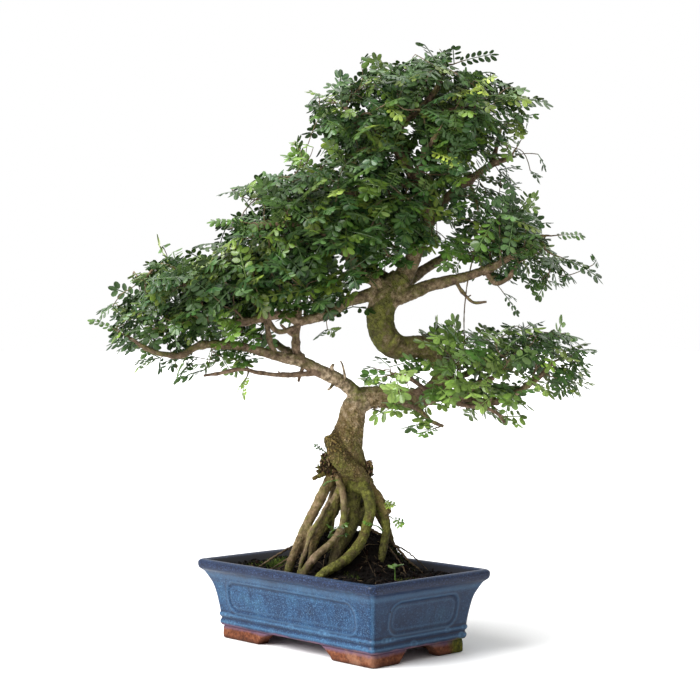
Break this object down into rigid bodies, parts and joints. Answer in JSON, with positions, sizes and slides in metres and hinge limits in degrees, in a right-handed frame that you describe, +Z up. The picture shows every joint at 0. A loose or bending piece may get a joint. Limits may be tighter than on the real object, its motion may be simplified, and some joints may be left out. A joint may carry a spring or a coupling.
{
  "type": "bonsai tree in a pot",
  "caption": "Bonsai tree with exposed roots, a winding trunk and sprays of small paired leaflets, in a footed rectangular glazed pot with sunken panels.",
  "frame": {"origin": "centre of the pot's base, on the plane its feet stand on", "axes": "+Z up, +X along the pot's long side, +Y along its short side; the tree's front faces +X and -Y, between the two"},
  "size_m": [0.4881, 0.5019, 0.7123],
  "materials": {
    "pot": "speckled blue glaze, bare fired clay at the feet",
    "drain_mesh": "matt black moulded mesh",
    "soil": "damp dark potting soil",
    "wood": "living bark with moss",
    "seedling": "soft green leaf",
    "leaf_deep": "glossy deep green leaf",
    "leaf_green": "glossy green leaf",
    "leaf_light": "light green leaf",
    "leaf_young": "yellow-green young leaf"
  },
  "bodies": {
    "root": {"pot": "pot", "drain_mesh_left": "drain_mesh", "drain_mesh_right": "drain_mesh", "soil": "soil", "tree": "wood", "seedling": "seedling", "spray_01": "leaf_deep", "spray_02": "leaf_deep", "spray_03": "leaf_deep", "spray_04": "leaf_young", "spray_05": "leaf_deep", "spray_06": "leaf_deep", "spray_07": "leaf_deep", "spray_08": "leaf_deep", "spray_09": "leaf_young", "spray_10": "leaf_deep", "spray_11": "leaf_deep", "spray_12": "leaf_deep", "spray_13": "leaf_deep", "spray_14": "leaf_deep", "spray_15": "leaf_deep", "spray_16": "leaf_deep", "spray_17": "leaf_deep", "spray_18": "leaf_green", "spray_19": "leaf_deep", "spray_20": "leaf_green", "spray_21": "leaf_deep", "spray_22": "leaf_deep", "spray_23": "leaf_deep", "spray_24": "leaf_deep", "spray_25": "leaf_green", "spray_26": "leaf_deep", "spray_27": "leaf_young", "spray_28": "leaf_deep", "spray_29": "leaf_deep", "spray_30": "leaf_deep", "spray_31": "leaf_young", "spray_32": "leaf_deep", "spray_33": "leaf_deep", "spray_34": "leaf_deep", "spray_35": "leaf_deep", "spray_36": "leaf_deep", "spray_37": "leaf_deep", "spray_38": "leaf_deep", "spray_39": "leaf_deep", "spray_40": "leaf_deep", "spray_41": "leaf_deep", "spray_42": "leaf_green", "spray_43": "leaf_deep", "spray_44": "leaf_deep", "spray_45": "leaf_light", "spray_46": "leaf_light", "spray_47": "leaf_light", "spray_48": "leaf_light", "spray_49": "leaf_deep", "spray_50": "leaf_deep", "spray_51": "leaf_green", "spray_52": "leaf_deep"}
  },
  "joints": []
}
